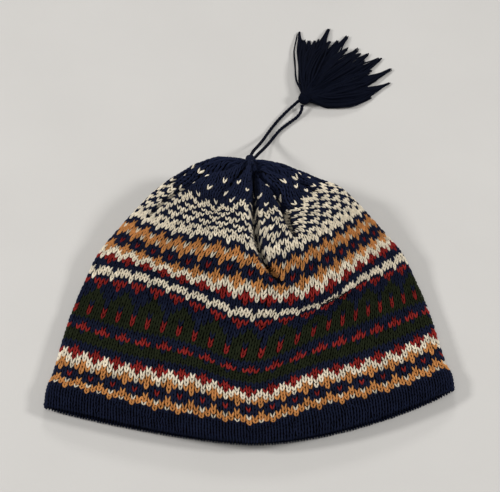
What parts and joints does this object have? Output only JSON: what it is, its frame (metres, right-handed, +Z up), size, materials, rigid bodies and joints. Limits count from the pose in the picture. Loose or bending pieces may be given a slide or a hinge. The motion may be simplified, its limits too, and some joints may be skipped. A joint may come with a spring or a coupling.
{
  "type": "ski beanie",
  "caption": "Patterned knitted wool hat lying on its back, with a pleated, gathered crown and a tassel on a doubled cord.",
  "frame": {"origin": "middle of the hat's footprint on the surface that it lies on, cord and tassel left out", "axes": "+Z up from the surface, -Y towards the rim, +Y towards the crown and the tassel, +X to the right of someone who looks at the rim"},
  "size_m": [0.2504, 0.3341, 0.0396],
  "materials": {
    "navy_wool": "knitted wool, soft and matt",
    "cream_wool": "knitted wool, soft and matt",
    "gold_wool": "knitted wool, soft and matt",
    "red_wool": "knitted wool, soft and matt",
    "green_wool": "knitted wool, soft and matt",
    "cord_wool": "plied wool yarn, matt"
  },
  "bodies": {
    "root": {"knit_body": "navy_wool", "crown_gather": "navy_wool", "cord_left": "cord_wool", "cord_right": "cord_wool", "tassel_binding": "cord_wool", "tassel": "cord_wool"}
  },
  "joints": []
}
